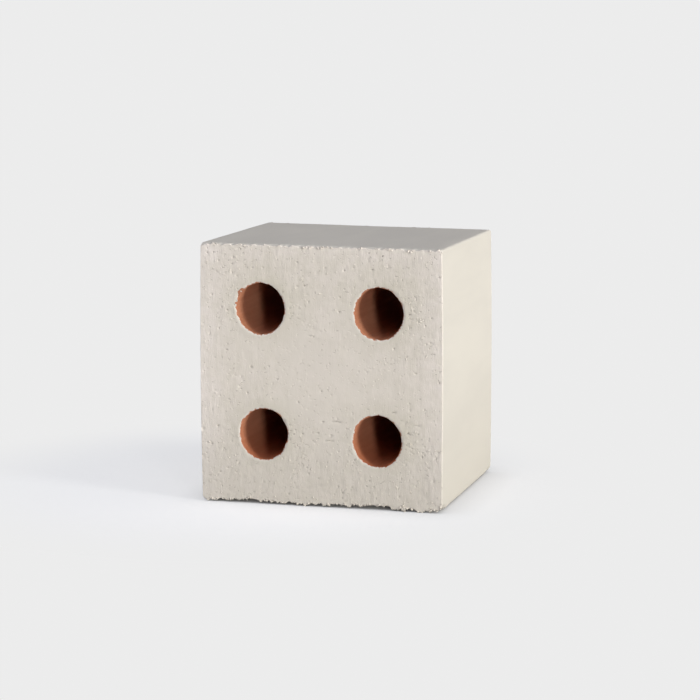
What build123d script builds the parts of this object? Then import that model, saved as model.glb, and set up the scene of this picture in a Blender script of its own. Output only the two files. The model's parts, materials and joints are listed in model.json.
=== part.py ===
from build123d import *
import os

# Extruded clay block, one fired piece, in millimetres.
# X runs across the front, Y from the front face to the back one, and Z is up.
# The clay left the die along Y, and a wire cut it off at the front and at the back.
# The block stands on one of its die-smoothed sides, and the origin is the middle of that side.

# Section of the clay column, as the die gives it
WIDTH = 115.0
HEIGHT = 122.0
SIDE_SWELL = 0.5

# Length between the two wire cuts
DEPTH = 104.0

# Radii of the four long arrises, as seen from the front
TOP_LEFT_ARRIS = 1.2
TOP_RIGHT_ARRIS = 1.2
BOTTOM_LEFT_ARRIS = 2.4
BOTTOM_RIGHT_ARRIS = 3.4

# Round bores that run through from cut to cut, and the clay between them and the outside
BORE_DIAMETER = 23.5
BORE_COLUMNS = 2
BORE_ROWS = 2
SIDE_SHELL = 18.0
TOP_SHELL = 18.8
BOTTOM_SHELL = 21.0

# Edges that the wire leaves
CUT_EDGE_RADIUS = 0.6
BORE_MOUTH_RADIUS = 0.5

# The bores share out what the shells leave of the section
bore_step_across = (WIDTH - 2 * SIDE_SHELL - BORE_DIAMETER) / max(BORE_COLUMNS - 1, 1)
bore_step_up = (HEIGHT - TOP_SHELL - BOTTOM_SHELL - BORE_DIAMETER) / max(BORE_ROWS - 1, 1)
bore_middle_height = (HEIGHT - TOP_SHELL + BOTTOM_SHELL) / 2

arrises = {
    (-WIDTH / 2, HEIGHT): TOP_LEFT_ARRIS,
    (WIDTH / 2, HEIGHT): TOP_RIGHT_ARRIS,
    (-WIDTH / 2, 0): BOTTOM_LEFT_ARRIS,
    (WIDTH / 2, 0): BOTTOM_RIGHT_ARRIS,
}


def column_section():
    """The die's outline: level top and bottom, sides swollen at mid-height, rounded arrises."""
    with BuildSketch() as section:
        with BuildLine():
            bottom = Line((-WIDTH / 2, 0), (WIDTH / 2, 0))
            right = ThreePointArc(
                bottom @ 1, (WIDTH / 2 + SIDE_SWELL, HEIGHT / 2), (WIDTH / 2, HEIGHT)
            )
            top = Line(right @ 1, (-WIDTH / 2, HEIGHT))
            ThreePointArc(top @ 1, (-WIDTH / 2 - SIDE_SWELL, HEIGHT / 2), bottom @ 0)
        make_face()
        for corner, radius in arrises.items():
            fillet(section.vertices().sort_by_distance((*corner, 0))[0], radius)
    return section.sketch


def bore_pattern():
    """The circles that the die's cores leave, in rows and columns between the shells."""
    with BuildSketch() as circles:
        with Locations((0, bore_middle_height)):
            with GridLocations(bore_step_across, bore_step_up, BORE_COLUMNS, BORE_ROWS):
                Circle(BORE_DIAMETER / 2)
    return circles.sketch


def perforated_block():
    """The column, cut to length, with its bores and the softened edges of both cuts."""
    with BuildPart() as block:
        with BuildSketch(Plane.XZ):
            add(column_section())
            add(bore_pattern(), mode=Mode.SUBTRACT)
        extrude(amount=DEPTH / 2, both=True)

        cut_faces = block.faces().filter_by(Axis.Y)
        outlines = [face.outer_wire() for face in cut_faces]
        mouths = [wire for face in cut_faces for wire in face.inner_wires()]
        fillet([edge for wire in outlines for edge in wire.edges()], CUT_EDGE_RADIUS)
        fillet([edge for wire in mouths for edge in wire.edges()], BORE_MOUTH_RADIUS)
    return block.part


os.makedirs("parts", exist_ok=True)
export_step(perforated_block(), "parts/perforated_block.step")
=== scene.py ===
import functools
import itertools
import json
import math

import bpy
import numpy as np
from mathutils import Matrix, Vector
from mathutils.geometry import delaunay_2d_cdt


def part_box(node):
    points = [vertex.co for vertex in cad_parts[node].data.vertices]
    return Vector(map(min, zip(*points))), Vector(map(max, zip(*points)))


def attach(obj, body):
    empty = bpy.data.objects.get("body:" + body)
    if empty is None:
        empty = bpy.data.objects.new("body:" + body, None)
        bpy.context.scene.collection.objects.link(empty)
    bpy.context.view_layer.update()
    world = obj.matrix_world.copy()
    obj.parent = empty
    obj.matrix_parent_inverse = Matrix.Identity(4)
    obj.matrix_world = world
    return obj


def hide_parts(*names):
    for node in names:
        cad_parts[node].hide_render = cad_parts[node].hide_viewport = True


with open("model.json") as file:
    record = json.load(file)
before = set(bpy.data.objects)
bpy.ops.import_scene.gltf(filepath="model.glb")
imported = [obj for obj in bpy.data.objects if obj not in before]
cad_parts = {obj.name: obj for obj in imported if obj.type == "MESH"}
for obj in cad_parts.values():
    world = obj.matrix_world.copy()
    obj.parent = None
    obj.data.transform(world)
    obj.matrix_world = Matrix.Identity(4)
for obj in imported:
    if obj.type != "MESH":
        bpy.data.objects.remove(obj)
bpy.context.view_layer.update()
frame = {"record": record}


# The camera. It looks down a little on the block from the right of its front face, through a
# long lens, so that the front fills most of the picture and the right side shows as a strip.
CAMERA_PLACE = (0.29865, -1.05994, 0.22702)
CAMERA_YAW = math.radians(15.749)
CAMERA_DOWN = math.radians(8.307)
CAMERA_ROLL = math.radians(-0.155)
PICTURE_SIDE = 700
FOCAL_PIXELS = 2319.6

camera_data = bpy.data.cameras.new("camera")
camera_data.sensor_width = 36.0
camera_data.lens = camera_data.sensor_width * FOCAL_PIXELS / PICTURE_SIDE
camera_data.clip_start = 0.05
camera_data.clip_end = 20.0
camera = bpy.data.objects.new("camera", camera_data)
camera.matrix_world = (
    Matrix.Translation(CAMERA_PLACE)
    @ Matrix.Rotation(CAMERA_YAW, 4, "Z")
    @ Matrix.Rotation(math.pi / 2 - CAMERA_DOWN, 4, "X")
    @ Matrix.Rotation(CAMERA_ROLL, 4, "Z")
)
bpy.context.scene.collection.objects.link(camera)
bpy.context.scene.camera = camera
bpy.context.scene.view_settings.view_transform = "Standard"


# The studio: a pale table under the block, the same pale tone all round it, two low lamps on the
# right of the front, a weak one on the left, and a sky that is brightest overhead and in front. The
# table keeps the block's shadow near it, and further off it melts into the backdrop's tone. Where
# the block closes over the table, its glow is painted darker: painted contact shade.
TABLE_RADIUS = 3.0
TABLE_SIDES = 96
TABLE_FADE_MIDDLE = (-0.052, 0.0, 0.0)
TABLE_FADE = (0.075, 0.175)
PALE_TONE = (0.840, 0.840, 0.840, 1.0)
TABLE_SEEN = (0.615, 0.61, 0.61, 1.0)
TABLE_BOUNCE = (0.52, 0.52, 0.52, 1.0)
TABLE_OWN_GLOW = 0.585
# Reach and strength of the painted contact shade on the table's glow
PAINTED_SHADE_REACH = 0.018
PAINTED_SHADE_SAMPLES = 8
PAINTED_SHADE_CLOSED = 0.10
PAINTED_SHADE_CURVE = 0.36
SKY_LEAN = (-0.10, -0.38, 0.88)
SKY_TINT = (0.92, 0.955, 1.07, 1.0)
SKY_STRENGTH = 1.13
SKY_GATHERED = 3.0


def eye_sees(nodes, links):
    """A factor that is 1 for what the camera sees, straight or in gloss or glass, and else 0."""
    ray = nodes.new("ShaderNodeLightPath")
    straight = nodes.new("ShaderNodeMath")
    straight.operation = "MAXIMUM"
    either = nodes.new("ShaderNodeMath")
    either.operation = "MAXIMUM"
    links.new(ray.outputs["Is Camera Ray"], straight.inputs[0])
    links.new(ray.outputs["Is Glossy Ray"], straight.inputs[1])
    links.new(straight.outputs[0], either.inputs[0])
    links.new(ray.outputs["Is Transmission Ray"], either.inputs[1])
    return either.outputs[0]


def pale_table():
    mesh = bpy.data.meshes.new("table")
    turns = [2 * math.pi * i / TABLE_SIDES for i in range(TABLE_SIDES)]
    rim = [(TABLE_RADIUS * math.cos(t), TABLE_RADIUS * math.sin(t), 0.0) for t in turns]
    mesh.from_pydata(rim, [], [tuple(range(TABLE_SIDES))])
    table = bpy.data.objects.new("table", mesh)
    bpy.context.scene.collection.objects.link(table)

    material = bpy.data.materials.new("pale_table")
    material.use_nodes = True
    nodes, links = material.node_tree.nodes, material.node_tree.links
    nodes.clear()
    lit = nodes.new("ShaderNodeBsdfDiffuse")
    lit.inputs["Color"].default_value = TABLE_SEEN
    bounce = nodes.new("ShaderNodeBsdfDiffuse")
    bounce.inputs["Color"].default_value = TABLE_BOUNCE
    # Painted contact shade: the glow dims where the block closes over the table
    contact = nodes.new("ShaderNodeAmbientOcclusion")
    contact.inputs["Distance"].default_value = PAINTED_SHADE_REACH
    contact.samples = PAINTED_SHADE_SAMPLES
    above_closed = nodes.new("ShaderNodeMapRange")
    above_closed.inputs["From Min"].default_value = PAINTED_SHADE_CLOSED
    openness = nodes.new("ShaderNodeMath")
    openness.operation = "POWER"
    openness.inputs[1].default_value = PAINTED_SHADE_CURVE
    own_glow = nodes.new("ShaderNodeMath")
    own_glow.operation = "MULTIPLY"
    own_glow.inputs[1].default_value = TABLE_OWN_GLOW
    glow = nodes.new("ShaderNodeEmission")
    glow.inputs["Color"].default_value = PALE_TONE
    links.new(contact.outputs["AO"], above_closed.inputs["Value"])
    links.new(above_closed.outputs["Result"], openness.inputs[0])
    links.new(openness.outputs[0], own_glow.inputs[0])
    links.new(own_glow.outputs[0], glow.inputs["Strength"])
    lit_and_glow = nodes.new("ShaderNodeAddShader")
    backdrop = nodes.new("ShaderNodeEmission")
    backdrop.inputs["Color"].default_value = PALE_TONE
    links.new(openness.outputs[0], backdrop.inputs["Strength"])
    place = nodes.new("ShaderNodeTexCoord")
    reach = nodes.new("ShaderNodeVectorMath")
    reach.operation = "DISTANCE"
    reach.inputs[1].default_value = TABLE_FADE_MIDDLE
    fade = nodes.new("ShaderNodeMapRange")
    fade.interpolation_type = "SMOOTHSTEP"
    fade.inputs["From Min"].default_value, fade.inputs["From Max"].default_value = TABLE_FADE
    melt = nodes.new("ShaderNodeMixShader")
    seen = nodes.new("ShaderNodeMixShader")
    out = nodes.new("ShaderNodeOutputMaterial")
    links.new(lit.outputs[0], lit_and_glow.inputs[0])
    links.new(glow.outputs[0], lit_and_glow.inputs[1])
    links.new(place.outputs["Object"], reach.inputs[0])
    links.new(reach.outputs["Value"], fade.inputs["Value"])
    links.new(fade.outputs["Result"], melt.inputs["Fac"])
    links.new(lit_and_glow.outputs[0], melt.inputs[1])
    links.new(backdrop.outputs[0], melt.inputs[2])
    links.new(eye_sees(nodes, links), seen.inputs["Fac"])
    links.new(bounce.outputs[0], seen.inputs[1])
    links.new(melt.outputs[0], seen.inputs[2])
    links.new(seen.outputs[0], out.inputs["Surface"])
    mesh.materials.append(material)


def pale_surroundings():
    world = bpy.data.worlds.new("studio")
    bpy.context.scene.world = world
    world.use_nodes = True
    nodes, links = world.node_tree.nodes, world.node_tree.links
    nodes.clear()
    direction = nodes.new("ShaderNodeTexCoord")
    lean = nodes.new("ShaderNodeVectorMath")
    lean.operation = "DOT_PRODUCT"
    lean.inputs[1].default_value = Vector(SKY_LEAN).normalized()
    strength = nodes.new("ShaderNodeMath")
    strength.operation = "MULTIPLY"
    strength.inputs[1].default_value = SKY_STRENGTH
    above = nodes.new("ShaderNodeMath")
    above.operation = "MAXIMUM"
    above.inputs[1].default_value = 0.0
    gathered = nodes.new("ShaderNodeMath")
    gathered.operation = "POWER"
    gathered.inputs[1].default_value = SKY_GATHERED
    fill = nodes.new("ShaderNodeBackground")
    fill.inputs["Color"].default_value = SKY_TINT
    links.new(direction.outputs["Generated"], lean.inputs[0])
    links.new(lean.outputs["Value"], above.inputs[0])
    links.new(above.outputs[0], gathered.inputs[0])
    links.new(gathered.outputs[0], strength.inputs[0])
    links.new(strength.outputs[0], fill.inputs["Strength"])
    backdrop = nodes.new("ShaderNodeBackground")
    backdrop.inputs["Color"].default_value = PALE_TONE
    choose = nodes.new("ShaderNodeMixShader")
    out = nodes.new("ShaderNodeOutputWorld")
    links.new(eye_sees(nodes, links), choose.inputs["Fac"])
    links.new(fill.outputs[0], choose.inputs[1])
    links.new(backdrop.outputs[0], choose.inputs[2])
    links.new(choose.outputs[0], out.inputs["Surface"])


def low_lamp(name, turn, height, breadth, strength, tint):
    """A far lamp: `turn` to the right of the front, `height` above level and as broad as `breadth`,
    all three in degrees as the block sees it."""
    data = bpy.data.lights.new(name, "SUN")
    data.angle = math.radians(breadth)
    data.energy = strength
    data.color = tint
    lamp = bpy.data.objects.new(name, data)
    lamp.rotation_euler = (math.radians(90 - height), 0.0, math.radians(turn))
    bpy.context.scene.collection.objects.link(lamp)


pale_table()
pale_surroundings()
low_lamp("key_right", 73.5, 8, 17, 2.26, (0.995, 1.0, 0.96))
low_lamp("fill_front", 33, 3, 9, 1.31, (1.0, 0.985, 0.98))
low_lamp("rim_left", -100, 12, 40, 0.40, (1.0, 1.0, 1.0))


# The block: clay pushed through a die, cut to length with a wire, coated with cream slip up to
# the mouths of its bores, and fired. Its long sides are as smooth as the die left them, and the
# two cut faces keep the wire's drag, pits, crumbs and torn edges. The sizes are in millimetres.
BLOCK = "perforated_block"
MM = 0.001

# The mesh lies a little inside the solid's sides and top, which leaves room for its waves and for
# the tilt of the top.
low, high = (np.array(corner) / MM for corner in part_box(BLOCK))
FRONT, BACK = low[1], high[1]
SIDE_SWELL = 0.5
SIDE_INSET = 0.07
HALF_WIDTH = high[0] - SIDE_SWELL - SIDE_INSET
TOP_INSET = 0.6
TOP = high[2] - TOP_INSET
ARRIS_RADII = {"bottom_right": 3.4, "top_right": 1.1, "top_left": 1.1, "bottom_left": 2.4}

# The cut faces lie this far inside the solid's, so that lips and crumbs stand out within it. Their
# edges are rounded, but the left ones stayed sharper than the others. A row of points just inside
# the outer edge holds it crisp.
CUT_INSET = 0.35
CUT_EDGE_RADIUS = 0.6
LEFT_EDGE_SHARE = 0.35
EDGE_HOLD = 0.15

bores = [mount for mount in frame["record"]["mounts"] if mount["kind"] == "bore"]
bore_axes = np.array([(bore["pos_m"][0], bore["pos_m"][2]) for bore in bores]) / MM
BORE_RADIUS = bores[0]["dims"]["r_mm"]
MOUTH_RADIUS = 0.5
ON_THE_RIM = 0.01

# Spacing of the mesh: on the two cut faces, along their edges, and in the middle of the tubes
# that the long sides and the bores' walls make
FRONT_SPACING = 0.72
BACK_SPACING = 0.95
EDGE_SPACING = 0.6
SIDE_SPACING = 4.0
WALL_SPACING = 3.0
SPACING_GROWTH = 1.25
ROUNDING_STEPS = 4
ARRIS_STEPS = 6
BORE_SIDES = 72
SAME_POINT = 1e-6

skin_points, skin_facing, skin_faces = [], [], []


def soft_noise(points, size, seed):
    """Smooth noise between -1 and 1, in lumps about as large as `size`, which may differ by axis."""
    table = np.random.default_rng(seed).uniform(-1, 1, 4096)
    cell = np.asarray(points, float).reshape(len(points), -1) / size
    base = np.floor(cell).astype(int)
    part = cell - base
    part = part * part * (3 - 2 * part)
    spread = np.array([73856093, 19349663, 83492791])[: cell.shape[1]]
    total = np.zeros(len(cell))
    for corner in itertools.product((0, 1), repeat=cell.shape[1]):
        weight = np.prod(np.where(corner, part, 1 - part), axis=1)
        total += weight * table[((base + corner) @ spread) % len(table)]
    return total


def layered_noise(points, layers, seed):
    """Several noises together, each with its size and how far it rises."""
    return sum(height * soft_noise(points, size, seed + i) for i, (size, height) in enumerate(layers))


def rise(value, start, end):
    """0 up to `start`, 1 from `end` on, and a smooth step between them."""
    part = np.clip((value - start) / (end - start), 0, 1)
    return part * part * (3 - 2 * part)


def lay(x, y, z, facing_x, facing_z):
    """Lays points of the skin, each with the way across the section that it faces, and gives
    their numbers."""
    first = sum(map(len, skin_points))
    x, y, z, facing_x, facing_z = np.broadcast_arrays(x, y, z, facing_x, facing_z)
    skin_points.append(np.column_stack([x, y, z]))
    skin_facing.append(np.column_stack([facing_x, facing_z]))
    return np.arange(first, first + len(x))


def level_run(start, end, spacing):
    """Rows of values strictly between two rows, evenly spaced."""
    count = math.ceil(math.dist(start[:2], end[:2]) / spacing)
    return start + (end - start) * (np.arange(1, count) / count)[:, None]


def section_ring(y, spacing, tuck):
    """A ring round the section, tucked in from the sides. It starts in the middle of the bottom and
    runs to the right. Gives its numbers, how far round each point lies, and the girth."""
    middle = np.array([0.0, 0.0, -math.pi / 2])
    ring = [middle[None]]
    corners = {"bottom_right": (1, 0), "top_right": (1, 1), "top_left": (-1, 1), "bottom_left": (-1, 0)}
    for quarter, (name, (side, up)) in enumerate(corners.items()):
        radius = ARRIS_RADII[name]
        steps = max(ARRIS_STEPS, math.ceil(radius * math.pi / 2 / spacing))
        angles = np.radians(np.linspace(-90, 0, steps + 1) + 90 * quarter)
        x = side * (HALF_WIDTH - radius) + radius * np.cos(angles)
        z = (TOP - radius if up else radius) + radius * np.sin(angles)
        arc = np.column_stack([x, z, angles])
        ring += [level_run(ring[-1][-1], arc[0], spacing), arc]
    ring.append(level_run(ring[-1][-1], middle + [0, 0, 2 * math.pi], spacing))
    x, z, angles = np.concatenate(ring).T
    steps = np.hypot(np.roll(x, -1) - x, np.roll(z, -1) - z)
    facing_x, facing_z = np.cos(angles), np.sin(angles)
    tuck = tuck * (1 - (1 - LEFT_EDGE_SHARE) * rise(-facing_x, 0.5, 1.0))
    numbers = lay(x - tuck * facing_x, y, z - tuck * facing_z, facing_x, facing_z)
    girth = 2 * (2 * HALF_WIDTH + TOP)
    return numbers, (np.cumsum(steps) - steps) * girth / steps.sum(), girth


def bore_ring(axis, y, spacing, tuck):
    """A ring round a bore, tucked back from its wall, given as section_ring gives its own."""
    girth = 2 * math.pi * BORE_RADIUS
    count = max(BORE_SIDES, round(girth / spacing))
    turn = 2 * math.pi * np.arange(count) / count
    radius = BORE_RADIUS + tuck
    x, z = axis[0] + radius * np.cos(turn), axis[1] + radius * np.sin(turn)
    return lay(x, y, z, -np.cos(turn), -np.sin(turn)), turn * BORE_RADIUS, girth


def fill(flat, numbers, turned, edges=(), keep=None):
    """Fills a flat drawing of a surface with triangles. They face up out of the drawing, or down
    where it is turned over."""
    edges = [tuple(map(int, edge)) for edge in edges]
    within = 1 if edges else 0
    drawn = delaunay_2d_cdt([tuple(p) for p in flat], edges, [], within, SAME_POINT)
    _, _, faces, origins, _, _ = drawn
    faces = np.array([origin[0] for origin in origins])[np.array(faces)]
    if keep is not None:
        faces = faces[keep(flat[faces].mean(axis=1))]
    a, b = (flat[faces[:, i]] - flat[faces[:, 0]] for i in (1, 2))
    face_down = a[:, 0] * b[:, 1] < a[:, 1] * b[:, 0]
    faces[face_down != turned] = faces[face_down != turned][:, ::-1]
    skin_faces.append(numbers[faces])


def tube(make_ring, edge_radius, widest, turned):
    """Lays a tube from cut to cut, with its edges rounded and its rings further apart towards the
    middle. It is filled as a drawing unrolled, girth across and length up. Gives its end rings."""
    start, end = FRONT + CUT_INSET, BACK - CUT_INSET
    rows = []
    for angle in np.linspace(0, math.pi / 2, ROUNDING_STEPS + 1):
        y, tuck = start + edge_radius * (1 - math.cos(angle)), edge_radius * (1 - math.sin(angle))
        rows.append((y, EDGE_SPACING, tuck))
    gaps = [EDGE_SPACING]
    half = (end - start) / 2 - edge_radius
    while sum(gaps) < half:
        gaps.append(min(gaps[-1] * SPACING_GROWTH, widest))
    for place, gap in zip(np.cumsum(gaps) * half / sum(gaps), gaps):
        rows.append((start + edge_radius + place, gap, 0.0))
    rows += [(start + end - y, gap, tuck) for y, gap, tuck in rows[-2::-1]]

    flat, numbers, up, last = [], [], 0.0, (start, edge_radius)
    for y, spacing, tuck in rows:
        up += math.dist((y, tuck), last)
        last = (y, tuck)
        ring, where, girth = make_ring(y, spacing, tuck)
        flat.append(np.column_stack([np.append(where, girth), np.full(len(ring) + 1, up)]))
        numbers.append(np.append(ring, ring[0]))
    fill(np.concatenate(flat), np.concatenate(numbers), turned)
    return numbers[0][:-1], numbers[-1][:-1]


# Marks on the cut faces: their places x and z, half their width and height, and how far they
# stand out, or in where it is less than 0. The front has these, and seeded ones in between.
SEEN_MARKS = [
    (-54.0, 116.8, 0.7, 0.5, -0.40),
    (-51.1, 117.1, 0.6, 0.5, -0.30),
    (-10.8, 113.6, 0.7, 0.6, -0.30),
    (-7.4, 102.9, 0.8, 0.5, -0.35),
    (-44.6, 90.4, 0.6, 0.5, -0.35),
    (9.1, 91.5, 0.5, 0.5, -0.35),
    (42.6, 91.6, 1.2, 0.4, -0.30),
    (35.0, 75.6, 0.5, 0.6, -0.35),
    (-33.3, 64.4, 0.5, 0.6, -0.45),
    (-35.2, 52.1, 0.5, 0.6, -0.45),
    (45.2, 64.4, 1.2, 0.4, -0.35),
    (55.6, 60.6, 0.5, 0.6, -0.50),
    (42.4, 37.0, 0.5, 0.6, -0.45),
    (7.8, 40.4, 4.2, 0.32, -0.32),
    (4.4, 31.4, 3.6, 0.32, -0.30),
    (1.2, 40.1, 0.8, 0.45, -0.38),
    (5.1, 34.1, 1.0, 0.35, -0.32),
    (-1.2, 34.8, 1.2, 0.35, -0.30),
    (-14.4, 34.9, 0.9, 0.40, -0.38),
    (-12.0, 35.6, 0.6, 0.45, -0.38),
    (-14.8, 30.8, 0.45, 0.70, -0.36),
    (-12.8, 33.4, 0.7, 0.35, -0.34),
    (35.6, 46.2, 2.0, 0.35, -0.28),
    (45.6, 40.4, 3.0, 0.30, -0.25),
    (-10.6, 48.8, 0.5, 0.6, -0.34),
    (0.5, 54.4, 0.7, 0.4, -0.34),
    (-49.6, 36.0, 0.6, 0.6, -0.40),
    (-52.4, 27.4, 0.6, 0.7, -0.40),
]

# Kinds of seeded marks: how many, and the ranges of half-width, half-height and height. Most of
# them lie in clusters, some of which are beside the bores, where the wire left their far rims.
MARK_KINDS = [
    (190, (0.20, 0.46), (0.18, 0.42), (-0.42, -0.18)),
    (44, (0.60, 1.60), (0.18, 0.28), (-0.22, -0.12)),
    (60, (0.18, 0.28), (0.80, 2.20), (-0.20, -0.10)),
    (150, (0.18, 0.42), (0.18, 0.40), (0.10, 0.22)),
]
CLUSTERS = 26
CLUSTER_SPREAD = 3.6
CLUSTERED_SHARE = 0.6
BESIDE_BORE = (BORE_RADIUS + 3.0, 2.0)
MARKS_APART = 1.35
MARKS_OFF_EDGES = 1.3

# How rough the wire left a cut face: calm in its middle, and rougher outwards, at the foot and in
# patches
CALM = 0.45
ROUGHER_OUTWARDS = 0.75
ROUGHER_AT_FOOT = 0.25
FOOT = (8.0, 42.0)
PATCHES = 0.30
PATCH_SIZE = 9.0

# The net of a cut face: rows of triangles, a little out of line, and a finer net at each mark
TRIANGLE_HEIGHT = 0.866
GRID_JITTER = 0.15
NET_ROOM = 0.45
NET_RINGS = (0.5, 1.0)
NET_SPOKES = 8


def from_bores(xz):
    """How far points of the section lie from the axis of the nearest bore."""
    return np.min([np.hypot(*(xz - axis).T) for axis in bore_axes], axis=0)


def on_cut_face(xz, margin):
    """Which points lie on the clay of a cut face, further than `margin` from its edges."""
    x, z = np.asarray(xz).T
    radii = [ARRIS_RADII[name] for name in ("bottom_left", "top_left", "bottom_right", "top_right")]
    radius = np.array(radii)[2 * (x > 0) + (z > TOP / 2)]
    out_x, out_z = abs(x) - HALF_WIDTH + radius, abs(z - TOP / 2) - TOP / 2 + radius
    beyond_arc_middle = np.hypot(np.maximum(out_x, 0), np.maximum(out_z, 0))
    short_of_it = np.minimum(np.maximum(out_x, out_z), 0)
    within_outline = radius - beyond_arc_middle - short_of_it > CUT_EDGE_RADIUS + margin
    return within_outline & (from_bores(np.asarray(xz)) > BORE_RADIUS + MOUTH_RADIUS + margin)


def coarseness(xz):
    """How rough the wire left a cut face, from about 0.2 where it is calmest to about 1.7."""
    from_middle = np.hypot(xz[:, 0] / HALF_WIDTH, xz[:, 1] / (TOP / 2) - 1)
    rough = CALM + ROUGHER_OUTWARDS * rise(from_middle, 0.25, 1.0)
    rough = rough + ROUGHER_AT_FOOT * (1 - rise(xz[:, 1], *FOOT))
    return rough + PATCHES * soft_noise(xz, PATCH_SIZE, seed=91)


def scatter_marks(seed, marks):
    """Adds seeded marks of each kind to a cut face, clear of its edges and of each other. They are
    shallower where the face is calm."""
    rng = np.random.default_rng(seed)
    clusters = rng.uniform((-HALF_WIDTH, 0), (HALF_WIDTH, TOP), (CLUSTERS, 2))
    clusters = np.concatenate([clusters, bore_axes + BESIDE_BORE, bore_axes + BESIDE_BORE])
    marks = list(marks)
    for count, widths, heights, depths in MARK_KINDS:
        wanted = len(marks) + count
        while len(marks) < wanted:
            x, z = rng.uniform(-HALF_WIDTH, HALF_WIDTH), rng.uniform(0, TOP)
            if rng.random() < CLUSTERED_SHARE:
                x, z = rng.normal(clusters[rng.integers(len(clusters))], CLUSTER_SPREAD)
            calmed = min(coarseness(np.array([(x, z)]))[0], 1.0)
            mark = (x, z, rng.uniform(*widths), rng.uniform(*heights), rng.uniform(*depths) * calmed)
            clear = all(
                abs(x - other[0]) > MARKS_APART * (mark[2] + other[2])
                or abs(z - other[1]) > MARKS_APART * (mark[3] + other[3])
                for other in marks
            )
            if clear and on_cut_face([(x, z)], MARKS_OFF_EDGES * max(mark[2:4]))[0]:
                marks.append(mark)
    return np.array(marks)


def cut_face(y, outer, mouths, spacing, marks, seed, turned):
    """Fills a cut face from its outer ring to the mouths' rings, with a finer net at each mark."""
    rng = np.random.default_rng(seed)
    columns = np.arange(-HALF_WIDTH, HALF_WIDTH, spacing)
    x, z = np.meshgrid(columns, np.arange(0, TOP, spacing * TRIANGLE_HEIGHT))
    x[1::2] += spacing / 2
    grid = np.column_stack([x.ravel(), z.ravel()])
    grid += rng.uniform(-GRID_JITTER, GRID_JITTER, grid.shape) * spacing
    free = on_cut_face(grid, spacing / 2)
    for mark in marks:
        free &= (((grid - mark[:2]) / (mark[2:4] + spacing * NET_ROOM)) ** 2).sum(axis=1) > 1
    turn = np.radians(np.arange(NET_SPOKES) * 360 / NET_SPOKES)
    net = [(0.0, 0.0)] + [(r * math.cos(t), r * math.sin(t)) for r in NET_RINGS for t in turn]
    nets = (marks[:, None, :2] + marks[:, None, 2:4] * np.array(net)).reshape(-1, 2)
    laid, laid_facing = np.concatenate(skin_points), np.concatenate(skin_facing)
    beside_edge = (laid[:, [0, 2]] - EDGE_HOLD * laid_facing)[outer]
    inner = np.concatenate([grid[free], nets, beside_edge])
    inner_numbers = lay(inner[:, 0], y, inner[:, 1], 0.0, 0.0)

    laid = np.concatenate(skin_points)
    rings = [outer, *mouths]
    numbers = np.concatenate([*rings, inner_numbers])
    edges, first = [], 0
    for ring in rings:
        here = np.arange(first, first + len(ring))
        edges.append(np.column_stack([here, np.roll(here, -1)]))
        first += len(ring)

    def keep(middles):
        return from_bores(middles) > BORE_RADIUS + MOUTH_RADIUS - ON_THE_RIM

    fill(laid[numbers][:, [0, 2]], numbers, turned, np.concatenate(edges), keep)


front_edge, back_edge = tube(section_ring, CUT_EDGE_RADIUS, SIDE_SPACING, True)
mouth_edges = []
for axis in bore_axes:
    make_ring = functools.partial(bore_ring, axis)
    mouth_edges.append(tube(make_ring, MOUTH_RADIUS, WALL_SPACING, False))
front_mouths, back_mouths = zip(*mouth_edges)
front_marks = scatter_marks(11, SEEN_MARKS)
back_marks = scatter_marks(12, [])
cut_face(FRONT + CUT_INSET, front_edge, front_mouths, FRONT_SPACING, front_marks, 21, False)
cut_face(BACK - CUT_INSET, back_edge, back_mouths, BACK_SPACING, back_marks, 22, True)

points = np.concatenate(skin_points)
facing = np.concatenate(skin_facing)
faces = np.concatenate(skin_faces)


# How far the clay of the cut faces stands out, beside the marks: the wire's slow waves, and the
# grain that it dragged up and down the face, each with the size of its lumps and its rise. Slip has
# gathered in a lip round each mouth, which starts at the rim and ends a little further out.
WAVES = ((24.0, 0.07), (7.0, 0.028))
GRAIN = ((1.5, 0.045), ((1.3, 11.0), 0.035))
LIP_RISE = 0.035
LIP_STARTS = (0.0, 0.9)
LIP_ENDS = (1.2, 3.2)

# The slurry that the wire dragged out of the bores stained the slip round their mouths, most of all
# on the side that it was dragged to.
DRAGGED_TO = np.array([2.0, 1.0])
STAIN_REACH = 5.0


def stain(xz):
    """How much slurry the slip took up: 1 at a mouth's rim, and less further out."""
    return np.exp(-np.maximum(from_bores(xz - DRAGGED_TO) - BORE_RADIUS, 0) / STAIN_REACH)


def cut_relief(xz, marks, seed):
    relief = layered_noise(xz, WAVES, seed) + layered_noise(xz, GRAIN, seed + 2) * coarseness(xz)
    from_rim = from_bores(xz) - BORE_RADIUS
    relief += LIP_RISE * rise(from_rim, *LIP_STARTS) * (1 - rise(from_rim, *LIP_ENDS))
    for x, z, half_width, half_height, height in marks:
        reach = ((xz[:, 0] - x) / half_width) ** 2 + ((xz[:, 1] - z) / half_height) ** 2
        relief += height * np.maximum(1 - reach, 0) ** 2
    return relief


# The upper edges are torn down in lumps, and each lower edge hangs clear of the floor as a burr with
# ragged teeth, with sizes and rises given as for the waves. The gaps below a burr are given as places
# x and the height at each. Behind it the bottom is hollow, and comes down to the floor further in.
TORN_DOWN = 0.38
TORN_LUMPS = ((1.2, 0.36), (3.2, 0.26))
BURR_TEETH = ((1.0, 0.60), (2.6, 0.60))
BURR_GAPS = (
    (-56, -48, -42, 22, 34, 38, 43, 47, 54),
    (0.5, 1.1, 1.1, 1.45, 1.15, 0.8, 1.7, 0.4, 0.9),
)
BACK_GAPS = ((0,), (0.5,))
BURR_HOLLOW = 1.3
HOLLOW_STARTS = (0.5, 1.4)
HOLLOW_ENDS = (2.0, 10.0)

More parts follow.
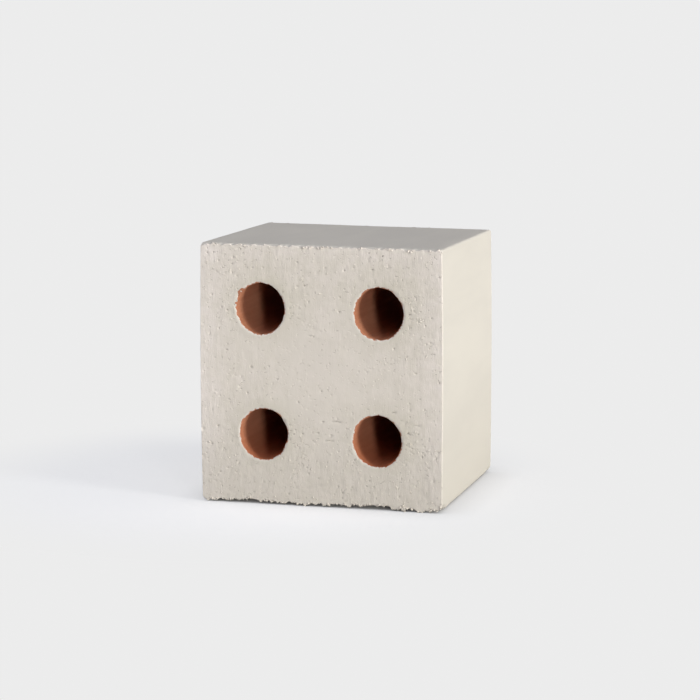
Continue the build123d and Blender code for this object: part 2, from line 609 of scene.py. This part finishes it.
# Single bites out of the front's edges and mouths: centre and radius. Its upper left corner was
# knocked down.
SEEN_BITES = [
    (11.2, FRONT, TOP, 0.8),
    (-17.4, FRONT, 39.6, 1.0),
    (-16.9, FRONT, 37.2, 0.7),
    (-39.2, FRONT, 97.6, 0.9),
    (-40.3, FRONT, 95.2, 0.8),
    (-40.5, FRONT, 92.4, 0.6),
    (-HALF_WIDTH, FRONT, 34.0, 1.0),
    (-HALF_WIDTH, FRONT, 21.0, 1.1),
    (-HALF_WIDTH, FRONT, 13.5, 0.8),
]
KNOCKED_CORNER = 0.8

# The cores bent in the clay, so that each bore comes out of the front beside its own axis, a
# little narrower than high. Further in, the bores run true.
MOUTH_SHIFTS = {
    "bore_top_left": (-0.75, 0.15),
    "bore_top_right": (0.15, -0.25),
    "bore_bottom_left": (0.45, 0.35),
    "bore_bottom_right": (-0.65, -0.45),
}
MOUTH_SQUEEZE = np.array([-0.030, 0.012])
MOUTH_BEND_LENGTH = 45.0
BEND_FADES = (1.0, 8.0)
RIM_RAGGED = 0.22
RIM_LUMPS = ((1.7, 1.0), (4.5, 0.7))
RIMS_APART = 100

# Where the slip flaked off beside the upper left bore's mouth: place, reach and how far out
FLAKED_AT = (-40.0, 96.0)
FLAKED_REACH = 7.0
FLAKED_OUT = 1.5


def near_front(y, start, end):
    """1 up to `start` behind the front cut face, and 0 from `end` behind it on."""
    return 1 - rise(y - FRONT - CUT_INSET, start, end)


def bend_bores(points):
    """Shifts each bore towards its mouth in the front, squeezes it, and frays its rims."""
    y = points[:, 1]
    for bore, axis in zip(bores, bore_axes):
        from_axis = points[:, [0, 2]] - axis
        away = np.hypot(*from_axis.T)
        round_rim = from_axis / np.maximum(away, 1e-9)[:, None]
        near = 1 - rise(away - BORE_RADIUS, *BEND_FADES)
        bent = near * near_front(y, 0, MOUTH_BEND_LENGTH)
        move = bent[:, None] * (np.array(MOUTH_SHIFTS[bore["name"]]) + MOUTH_SQUEEZE * from_axis)
        depth = np.minimum(y - FRONT, BACK - y)
        frayed = near * (1 - rise(depth, 0.8, 3.0)) * (1 - rise(away - BORE_RADIUS, 0.5, 2.0))
        on_rim = round_rim * BORE_RADIUS + axis + np.sign(y)[:, None] * RIMS_APART
        ragged = layered_noise(on_rim, RIM_LUMPS, 41)
        move += (RIM_RAGGED * frayed * ragged)[:, None] * round_rim
        points[:, [0, 2]] += move


def tear_edges(points):
    """Breaks the upper edges down, lifts the lower ones as burrs and knocks a corner down."""
    x, y, z = points.T
    for into_clay, gaps, seed in ((y - FRONT, BURR_GAPS, 51), (BACK - y, BACK_GAPS, 61)):
        depth = into_clay - CUT_INSET
        at_top = rise(z, TOP - 2.2, TOP - 0.3) * (1 - rise(depth, 0.4, 2.2))
        torn = TORN_DOWN + layered_noise(x, TORN_LUMPS, seed)
        lift = np.interp(x, *gaps) + BURR_HOLLOW * rise(depth, *HOLLOW_STARTS)
        lift *= (1 - rise(depth, *HOLLOW_ENDS)) * (1 - rise(z, 0.5, 5.0))
        on_burr = (1 - rise(depth, 0.5, 1.2)) * (1 - rise(z, 0.4, 2.4))
        z += lift + layered_noise(x, BURR_TEETH, seed + 5) * on_burr - torn * at_top
    at_corner = rise(-x, HALF_WIDTH - 3.5, HALF_WIDTH + 0.5) * rise(z, TOP - 3.0, TOP)
    z -= KNOCKED_CORNER * at_corner * near_front(y, 0.3, 2.0)


def bite(points, centre, radius):
    """Pushes the skin out of a ball, where a crumb broke off."""
    away = points - centre
    distance = np.linalg.norm(away, axis=1)
    inside = distance < radius
    points[inside] += away[inside] * (radius / np.maximum(distance[inside], 0.05) - 1)[:, None]


# The long sides: slow hollows, and faint lines that the die drew along them. The bores' walls
# have the same lines, a little deeper.
SIDE_WAVE = 0.06
SIDE_WAVE_SIZE = 26.0
SIDE_LINES = 0.012
WALL_LINES = 0.03
LINE_SIZE = (1.6, 70.0, 1.6)

# The soft column sagged: its sides swelled at mid-height and spread at the foot, outwards from
# SWELL_FROM, and its top tilted, with the left side up. On the left the top also climbs backwards
# as far as SLOPE_END, and SLOPE_BELOW is the share of the climb that lies under the level.
SWELL_FROM = 44.0
FOOT_SPREAD = 0.3
TOP_TILT = 0.45
TOP_SLOPE = 0.30
SLOPE_END = 25.0
SLOPE_BELOW = 0.6

# Where each point lies on the true block, before it is moved: in the section, behind the nearer
# cut face, and into the nearest bore, which is less than 0 outside of it
x, y, z = points.T
xz = points[:, [0, 2]].copy()
on_wall = from_bores(xz) < BORE_RADIUS + MOUTH_RADIUS + ON_THE_RIM
depth = np.minimum(y - FRONT, BACK - y) - CUT_INSET
into_bore = np.where(on_wall, depth, np.maximum(BORE_RADIUS + MOUTH_RADIUS - from_bores(xz), -6.0))

flaked = (y < 0) * (1 - rise(np.hypot(*(xz - FLAKED_AT).T), FLAKED_REACH - 3, FLAKED_REACH))
flaked *= rise(soft_noise(xz, 1.1, seed=33), -0.1, 0.5)
into_bore += FLAKED_OUT * flaked * (into_bore > -FLAKED_OUT)

lines = soft_noise(points, LINE_SIZE, seed=31)
on_side = SIDE_LINES * lines + SIDE_WAVE * soft_noise(points, SIDE_WAVE_SIZE, seed=32)
shift = facing * np.where(on_wall, WALL_LINES * lines, on_side)[:, None]

relief = np.zeros(len(points))
for side, marks, seed in ((-1, front_marks, 71), (1, back_marks, 81)):
    here = (y * side > 0) & (depth < 3.0)
    relief[here] = cut_relief(xz[here], marks, seed) * (1 - rise(depth[here], 0.4, 3.0))
    y[here] += side * relief[here]
x += shift[:, 0]
z += shift[:, 1]

bend_bores(points)
swell = SIDE_SWELL * (1 - (2 * z / TOP - 1) ** 2) + FOOT_SPREAD * (1 - z / TOP)
x += np.sign(x) * swell * rise(abs(x), SWELL_FROM, HALF_WIDTH)
tear_edges(points)
for *centre, radius in SEEN_BITES:
    bite(points, centre, radius)
z += TOP_TILT * (z / TOP) * -x / HALF_WIDTH
z += TOP_SLOPE * (z / TOP) * rise(-x, 0, HALF_WIDTH) * (rise(y, FRONT, SLOPE_END) - SLOPE_BELOW)
np.clip(points, low, high, out=points)


# The finish: matt cream slip over the terracotta that shows inside the bores. The slip is mottled
# and speckled on the cut faces and nearly plain on the long sides, where it shows the die's lines.
# It ends raggedly inside each mouth. In the lower bores' bottoms the clay is painted darker and
# redder, as painted shade and painted reddish bounce light.
SLIP_PALE = (0.744, 0.695, 0.616, 1.0)
SLIP_DEEP = (0.712, 0.665, 0.592, 1.0)
SLIP_THIN = (0.748, 0.676, 0.588, 1.0)
SLIP_PALER_AT_EDGES = (0.820, 0.750, 0.680, 1.0)
SLIP_AT_FOOT = (0.570, 0.525, 0.452, 1.0)
SLIP_DUST_AND_SHADE_IN_PITS = (0.380, 0.340, 0.290, 1.0)
MOTTLE_DEEP = (0.965, 0.965, 0.945, 1.0)
MOTTLE_PALE = (1.040, 1.035, 1.040, 1.0)
STAIN_TINT = (0.900, 0.905, 0.870, 1.0)
CLAY_PALE = (0.500, 0.222, 0.130, 1.0)
CLAY_DEEP = (0.412, 0.168, 0.092, 1.0)
CLAY_DUST = (0.720, 0.420, 0.270, 1.0)
CLAY_IN_PAINTED_SHADE = (0.375, 0.105, 0.042, 1.0)

# How far into a mouth the slip thins out to nothing, and by how much its end frays
SLIP_ENDS = (-0.05, 0.20)
SLIP_FRAY = 0.9


def slip_over_terracotta():
    material = bpy.data.materials.new("slip_over_terracotta")
    material.use_nodes = True
    nodes, links = material.node_tree.nodes, material.node_tree.links
    shader = nodes["Principled BSDF"]
    shader.inputs["IOR"].default_value = 1.45

    def feed(socket, value):
        if isinstance(value, bpy.types.NodeSocket):
            links.new(value, socket)
        else:
            socket.default_value = value

    def attribute(name):
        node = nodes.new("ShaderNodeAttribute")
        node.attribute_name = name
        return node.outputs["Fac"]

    def sum_of(*terms):
        """Adds terms, each a socket or a pair of a socket and what it is multiplied by."""
        total = 0.0
        for term in terms:
            socket, factor = term if isinstance(term, tuple) else (term, 1.0)
            node = nodes.new("ShaderNodeMath")
            node.operation = "MULTIPLY_ADD"
            feed(node.inputs[0], socket)
            node.inputs[1].default_value = factor
            feed(node.inputs[2], total)
            total = node.outputs[0]
        return total

    def product(a, b):
        node = nodes.new("ShaderNodeMath")
        node.operation = "MULTIPLY"
        feed(node.inputs[0], a)
        feed(node.inputs[1], b)
        return node.outputs[0]

    def between(value, start, end, from_value=0.0, to_value=1.0):
        node = nodes.new("ShaderNodeMapRange")
        node.interpolation_type = "SMOOTHSTEP"
        feed(node.inputs["Value"], value)
        node.inputs["From Min"].default_value, node.inputs["From Max"].default_value = start, end
        feed(node.inputs["To Min"], from_value)
        feed(node.inputs["To Max"], to_value)
        return node.outputs["Result"]

    def mix(factor, a, b, blend="MIX"):
        node = nodes.new("ShaderNodeMix")
        node.data_type = "RGBA"
        node.blend_type = blend
        feed(node.inputs["Factor"], factor)
        sockets = [socket for socket in node.inputs if socket.type == "RGBA"]
        feed(sockets[0], a)
        feed(sockets[1], b)
        return [socket for socket in node.outputs if socket.type == "RGBA"][0]

    place = nodes.new("ShaderNodeTexCoord").outputs["Object"]

    def grain(size, detail=2.0, rough=0.5):
        """Noise from 0 to 1 in lumps of a size in millimetres, which may differ by axis."""
        sizes = size if isinstance(size, tuple) else (size, size, size)
        mapping = nodes.new("ShaderNodeMapping")
        mapping.inputs["Scale"].default_value = [1 / (s * MM) for s in sizes]
        links.new(place, mapping.inputs["Vector"])
        noise = nodes.new("ShaderNodeTexNoise")
        noise.inputs["Scale"].default_value = 1.0
        noise.inputs["Detail"].default_value = detail
        noise.inputs["Roughness"].default_value = rough
        links.new(mapping.outputs["Vector"], noise.inputs["Vector"])
        return noise.outputs["Fac"]

    into_bore, relief = attribute("into_bore"), attribute("relief")
    on_cut, coarse, stained = attribute("on_cut"), attribute("coarse"), attribute("stained")
    spot = nodes.new("ShaderNodeSeparateXYZ")
    links.new(place, spot.inputs[0])
    across, up = spot.outputs["X"], spot.outputs["Z"]

    clouds = sum_of((grain((26.0, 80.0, 26.0)), 0.7), (grain((6.0, 30.0, 6.0)), 0.3))
    drag = grain((0.45, 3.0, 3.0), 3.0, 0.65)
    fine = grain(0.7, 5.0, 0.65)
    pinholes = between(grain(1.3, 1.0), 0.27, 0.33, 1.0, 0.0)
    slip = mix(between(clouds, 0.35, 0.65), SLIP_DEEP, SLIP_PALE)

    # On a cut face the slip lies thinner than on the sides, and paler along the right and top edges.
    # Along the left edge it is painted paler still, as painted light.
    slip = mix(product(on_cut, 0.6), slip, SLIP_THIN)
    painted_light_left = between(across, -0.058, -0.041, 0.8, 0.0)
    at_right = between(across, 0.044, 0.058, 0.0, 0.5)
    at_top = between(up, 0.110, 0.119, 0.0, 0.35)
    slip = mix(product(sum_of(painted_light_left, at_right, at_top), on_cut), slip, SLIP_PALER_AT_EDGES)
    slip = mix(stained, slip, STAIN_TINT, "MULTIPLY")
    mottle = between(sum_of((grain(5.0), 0.5), (grain((0.7, 5.0, 5.0), 3.0, 0.6), 0.5)), 0.36, 0.64)
    slip = mix(product(on_cut, coarse), slip, mix(mottle, MOTTLE_DEEP, MOTTLE_PALE), "MULTIPLY")
    # Darker towards the foot, on the cut faces more than on the long sides
    foot_of_cut = product(on_cut, between(up, -0.010, 0.058, 0.60, 0.0))
    off_cut = sum_of((on_cut, -1.0), 1.0)
    foot_of_side = product(off_cut, between(up, 0.0, 0.085, 0.45, 0.0))
    slip = mix(sum_of(foot_of_cut, foot_of_side), slip, SLIP_AT_FOOT)
    # Pits and pinholes are darker: dust in them, and painted shade
    hollow = between(relief, -0.20, -0.05, 1.0, 0.0)
    pit_dust_and_shade = sum_of((hollow, 0.45), (product(pinholes, product(on_cut, coarse)), 0.26))
    slip = mix(pit_dust_and_shade, slip, SLIP_DUST_AND_SHADE_IN_PITS)

    walls = sum_of((grain((2.2, 50.0, 2.2), 3.0), 0.7), (grain(1.0, 3.0), 0.3))
    clay = mix(between(walls, 0.2, 0.8), CLAY_DEEP, CLAY_PALE)
    dust = between(grain(1.6, 3.0, 0.7), 0.60, 0.72)
    near_mouth = between(into_bore, 1.0, 9.0, 0.25, 0.06)
    clay = mix(product(dust, near_mouth), clay, CLAY_DUST)
    # Painted shade and reddish bounce light: darker, redder clay low in the lower bores
    clay = mix(between(up, 0.020, 0.040, 0.55, 0.0), clay, CLAY_IN_PAINTED_SHADE)

    edge = sum_of(into_bore, (grain(1.1, 2.0), SLIP_FRAY), (grain(4.0, 1.0), SLIP_FRAY))
    bare = between(edge, SLIP_ENDS[0] + SLIP_FRAY, SLIP_ENDS[1] + SLIP_FRAY)
    links.new(mix(bare, slip, clay), shader.inputs["Base Color"])
    links.new(sum_of((fine, 0.10), (bare, -0.04), 0.86), shader.inputs["Roughness"])
    links.new(sum_of((bare, -0.24), 0.25), shader.inputs["Specular IOR Level"])

    # Heights in millimetres, for the bumps: each face's own grain, and the clay below the slip
    cut_height = sum_of((product(coarse, fine), 0.05), (product(coarse, drag), 0.11), (pinholes, -0.10))
    side_height = sum_of((grain(0.5, 3.0), 0.022), (grain((0.8, 40.0, 0.8), 2.0), 0.012))
    wall_height = sum_of((grain((0.7, 30.0, 0.7), 3.0), 0.015), (fine, 0.05))
    slip_height = sum_of(side_height, product(on_cut, cut_height))
    bump = nodes.new("ShaderNodeBump")
    bump.inputs["Distance"].default_value = MM
    links.new(sum_of(slip_height, product(bare, wall_height), (bare, -0.12)), bump.inputs["Height"])
    links.new(bump.outputs["Normal"], shader.inputs["Normal"])
    return material


finish = slip_over_terracotta()
mesh = bpy.data.meshes.new("slip_coated_block")
mesh.from_pydata((points * MM).tolist(), [], faces.tolist())
mesh.polygons.foreach_set("use_smooth", [True] * len(mesh.polygons))

# What the finish reads at each point: how far into a bore it is, how far the clay stands out there,
# and how much of it is cut face, how coarse that is and how much slurry stained it
on_cut = np.where(on_wall, 0.0, 1 - rise(depth, 0.0, 0.7))
masks = {"into_bore": into_bore, "relief": relief, "on_cut": on_cut}
masks |= {"coarse": coarseness(xz), "stained": on_cut * stain(xz)}
for name, values in masks.items():
    mask = mesh.attributes.new(name, "FLOAT", "POINT")
    mask.data.foreach_set("value", values.astype(np.float32))
mesh.materials.append(finish)
block = bpy.data.objects.new("slip_coated_block", mesh)
bpy.context.scene.collection.objects.link(block)
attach(block, "root")
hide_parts(BLOCK)


# Crumbs of clay and slip that the wire dragged along: they stuck to the torn upper edge, to the
# burr, round the mouths and here and there on the cut faces, and the slip covered them.
CRUMB_SEED = 7
CRUMB_UNEVENNESS = 1.6
CRUMB_LEAST = (0.75, 0.6, 0.75)
CRUMB_MOST = (1.25, 1.0, 1.25)

# Crumbs at their places on the front, x and z, with their radii, and then the seeded ones: where
# they sit, how many, and the range of their radii
SEEN_CRUMBS = [
    (-6.4, 120.4, 0.45),
    (-4.8, 120.2, 0.60),
    (-3.9, 120.8, 0.40),
    (-0.9, 120.3, 0.55),
    (0.6, 120.4, 0.70),
    (1.6, 120.9, 0.40),
    (32.6, 120.5, 0.50),
    (34.0, 120.2, 0.45),
    (41.6, 119.9, 0.55),
    (42.9, 119.6, 0.65),
    (43.8, 120.3, 0.45),
    (-43.9, 1.6, 0.55),
    (-53.0, 1.5, 0.45),
    (-29.5, 1.7, 0.40),
    (37.9, 2.1, 0.70),
    (38.8, 1.3, 0.95),
    (39.9, 1.1, 1.00),
    (41.0, 1.7, 0.75),
    (39.2, 2.6, 0.65),
    (53.9, 1.6, 0.45),
    (55.2, 1.2, 0.60),
    (56.9, 3.1, 0.60),
    (57.0, 2.2, 0.45),
]
CRUMB_PLACES = [
    ("front_upper_edge", 62, (0.20, 0.62)),
    ("back_upper_edge", 40, (0.10, 0.28)),
    ("burr", 170, (0.20, 0.64)),
    ("mouths", 60, (0.12, 0.26)),
    ("faces", 430, (0.12, 0.31)),
    ("lower_front", 170, (0.18, 0.42)),
]
LOWER_FRONT = 32.0

# A crumb's finish is that of a raised spot of a cut face
CRUMB_MASKS = {"into_bore": -2.0, "relief": 0.1, "on_cut": 1.0, "coarse": 1.0, "stained": 0.1}


def crumb_seats():
    """Points of the skin where crumbs sit, each with its crumb's radius."""
    rng = np.random.default_rng(CRUMB_SEED)
    upper_edge = (depth < 0.5) & (xz[:, 1] > TOP - 0.9)
    level_clay = (depth < 0.01) & ~on_wall & (relief > -0.05)
    near = {
        "front_upper_edge": upper_edge & (y < 0),
        "back_upper_edge": upper_edge & (y > 0),
        "burr": (depth < 0.5) & (xz[:, 1] < 0.9) & ~on_wall,
        "mouths": (depth < 0.4) & (abs(into_bore) < 0.8),
        "faces": level_clay,
        "lower_front": level_clay & (y < 0) & (z < LOWER_FRONT),
    }
    seats = [[(x, FRONT + CUT_INSET, z) for x, z, _ in SEEN_CRUMBS]]
    radii = [[radius for _, _, radius in SEEN_CRUMBS]]
    for name, count, sizes in CRUMB_PLACES:
        seats.append(points[rng.choice(np.flatnonzero(near[name]), count, replace=False)])
        radii.append(sizes[0] + (sizes[1] - sizes[0]) * rng.power(0.7, count) ** 2)
    return np.concatenate(seats), np.concatenate(radii)


def crumb_tree(material):
    """Sticks an uneven, flattened lump of the seat's own radius on each seat, turned at random."""
    tree = bpy.data.node_groups.new("stick_crumbs", "GeometryNodeTree")
    tree.interface.new_socket("Seats", in_out="INPUT", socket_type="NodeSocketGeometry")
    tree.interface.new_socket("Unevenness", in_out="INPUT", socket_type="NodeSocketFloat")
    tree.interface.new_socket("Seed", in_out="INPUT", socket_type="NodeSocketInt")
    tree.interface.new_socket("Crumbs", in_out="OUTPUT", socket_type="NodeSocketGeometry")
    nodes, links = tree.nodes, tree.links
    given, made = nodes.new("NodeGroupInput"), nodes.new("NodeGroupOutput")
    lump = nodes.new("GeometryNodeMeshIcoSphere")
    lump.inputs["Radius"].default_value = 1.0
    lump.inputs["Subdivisions"].default_value = 2
    noise = nodes.new("ShaderNodeTexNoise")
    noise.inputs["Scale"].default_value = 1.3
    middle = nodes.new("ShaderNodeVectorMath")
    middle.operation = "SUBTRACT"
    middle.inputs[1].default_value = (0.5, 0.5, 0.5)
    uneven = nodes.new("ShaderNodeVectorMath")
    uneven.operation = "SCALE"
    shape = nodes.new("GeometryNodeSetPosition")
    radius = nodes.new("GeometryNodeInputNamedAttribute")
    radius.data_type = "FLOAT"
    radius.inputs["Name"].default_value = "radius"
    turn = nodes.new("FunctionNodeRandomValue")
    turn.data_type = "FLOAT_VECTOR"
    turn.inputs["Max"].default_value = [2 * math.pi] * 3
    flatten = nodes.new("FunctionNodeRandomValue")
    flatten.data_type = "FLOAT_VECTOR"
    flatten.inputs["Min"].default_value = CRUMB_LEAST
    flatten.inputs["Max"].default_value = CRUMB_MOST
    size = nodes.new("ShaderNodeVectorMath")
    size.operation = "SCALE"
    stick = nodes.new("GeometryNodeInstanceOnPoints")
    realize = nodes.new("GeometryNodeRealizeInstances")
    paint = nodes.new("GeometryNodeSetMaterial")
    paint.inputs["Material"].default_value = material
    links.new(noise.outputs["Color"], middle.inputs[0])
    links.new(middle.outputs[0], uneven.inputs[0])
    links.new(given.outputs["Unevenness"], uneven.inputs["Scale"])
    links.new(lump.outputs["Mesh"], shape.inputs["Geometry"])
    links.new(uneven.outputs[0], shape.inputs["Offset"])
    links.new(given.outputs["Seed"], turn.inputs["Seed"])
    links.new(given.outputs["Seed"], flatten.inputs["Seed"])
    links.new(flatten.outputs[0], size.inputs[0])
    links.new(radius.outputs["Attribute"], size.inputs["Scale"])
    links.new(given.outputs["Seats"], stick.inputs["Points"])
    links.new(shape.outputs["Geometry"], stick.inputs["Instance"])
    links.new(turn.outputs[0], stick.inputs["Rotation"])
    links.new(size.outputs[0], stick.inputs["Scale"])
    links.new(stick.outputs["Instances"], realize.inputs["Geometry"])
    links.new(realize.outputs["Geometry"], paint.inputs["Geometry"])
    links.new(paint.outputs["Geometry"], made.inputs["Crumbs"])
    return tree


def slip_crumbs(material):
    seats, radii = crumb_seats()
    seat_mesh = bpy.data.meshes.new("crumb_seats")
    seat_mesh.from_pydata((seats * MM).tolist(), [], [])
    seat_mesh.attributes.new("radius", "FLOAT", "POINT").data.foreach_set("value", radii * MM)
    holder = bpy.data.objects.new("crumb_seats", seat_mesh)
    bpy.context.scene.collection.objects.link(holder)
    tree = crumb_tree(material)
    modifier = holder.modifiers.new("crumbs", "NODES")
    modifier.node_group = tree
    sockets = {socket.name: socket.identifier for socket in tree.interface.items_tree}
    modifier[sockets["Unevenness"]] = CRUMB_UNEVENNESS
    modifier[sockets["Seed"]] = CRUMB_SEED
    evaluated = holder.evaluated_get(bpy.context.evaluated_depsgraph_get())
    crumb_mesh = bpy.data.meshes.new_from_object(evaluated)
    bpy.data.objects.remove(holder)
    places = np.empty(len(crumb_mesh.vertices) * 3)
    crumb_mesh.vertices.foreach_get("co", places)
    places = np.clip(places.reshape(-1, 3), low * MM, high * MM)
    crumb_mesh.vertices.foreach_set("co", places.ravel())
    crumb_mesh.polygons.foreach_set("use_smooth", [True] * len(crumb_mesh.polygons))
    for name, value in CRUMB_MASKS.items():
        mask = crumb_mesh.attributes.new(name, "FLOAT", "POINT")
        mask.data.foreach_set("value", [value] * len(crumb_mesh.vertices))
    crumbs = bpy.data.objects.new("slip_crumbs", crumb_mesh)
    bpy.context.scene.collection.objects.link(crumbs)
    return crumbs


crumbs = slip_crumbs(finish)
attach(crumbs, "root")
